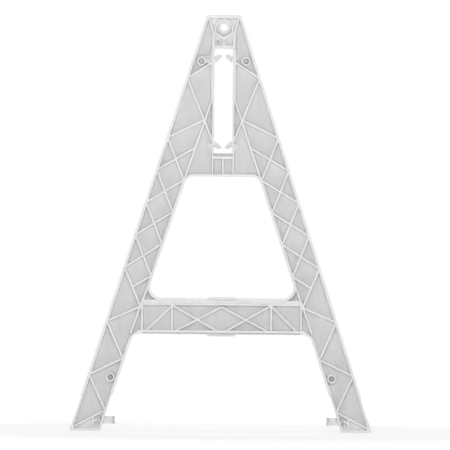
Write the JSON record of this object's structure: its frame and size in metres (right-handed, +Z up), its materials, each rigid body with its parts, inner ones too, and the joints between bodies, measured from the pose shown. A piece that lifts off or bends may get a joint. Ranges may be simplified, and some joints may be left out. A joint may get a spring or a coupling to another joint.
{
  "type": "A-frame barricade upright",
  "caption": "Ribbed white plastic A-frame end upright with a rail slot, sprung rail latches, a light bolt hole in the head, a low crossbar and stub pegs inside the feet.",
  "frame": {"origin": "on the ground, midway between the two feet and on the plane where the two frame halves meet", "axes": "+Z up, +X across the A towards the right foot, +Y through the thickness from the front face to the back, along the rail"},
  "size_m": [0.7908, 0.05, 1.092],
  "materials": {
    "frame_plastic": "satin",
    "latch_plastic": "satin",
    "zinc_steel": "zinc plated"
  },
  "bodies": {
    "frame": {"front_frame_half": "frame_plastic", "rear_frame_half": "frame_plastic", "upper_left_bolt": "zinc_steel", "upper_left_front_washer": "zinc_steel", "upper_left_rear_washer": "zinc_steel", "upper_left_nut": "zinc_steel", "upper_right_bolt": "zinc_steel", "upper_right_front_washer": "zinc_steel", "upper_right_rear_washer": "zinc_steel", "upper_right_nut": "zinc_steel", "lower_left_bolt": "zinc_steel", "lower_left_front_washer": "zinc_steel", "lower_left_rear_washer": "zinc_steel", "lower_left_nut": "zinc_steel", "lower_right_bolt": "zinc_steel", "lower_right_front_washer": "zinc_steel", "lower_right_rear_washer": "zinc_steel", "lower_right_nut": "zinc_steel", "left_foot_peg": "frame_plastic", "right_foot_peg": "frame_plastic"},
    "upper_left_finger": {"upper_left_latch": "latch_plastic"},
    "upper_right_finger": {"upper_right_latch": "latch_plastic"},
    "lower_left_finger": {"lower_left_latch": "latch_plastic"},
    "lower_right_finger": {"lower_right_latch": "latch_plastic"}
  },
  "joints": [
    {"name": "upper_left_latch_flex", "type": "hinge", "parent": "frame", "child": "upper_left_finger", "pos_m": [-0.034, 0, 0.9815], "axis": [0, -1, 0], "range_deg": [0, 25], "stiffness_Nm_per_rad": 1.5},
    {"name": "upper_right_latch_flex", "type": "hinge", "parent": "frame", "child": "upper_right_finger", "pos_m": [0.034, 0, 0.9815], "axis": [0, 1, 0], "range_deg": [0, 25], "stiffness_Nm_per_rad": 1.5},
    {"name": "lower_left_latch_flex", "type": "hinge", "parent": "frame", "child": "lower_left_finger", "pos_m": [-0.034, 0, 0.7485], "axis": [0, 1, 0], "range_deg": [0, 25], "stiffness_Nm_per_rad": 1.5},
    {"name": "lower_right_latch_flex", "type": "hinge", "parent": "frame", "child": "lower_right_finger", "pos_m": [0.034, 0, 0.7485], "axis": [0, -1, 0], "range_deg": [0, 25], "stiffness_Nm_per_rad": 1.5}
  ]
}
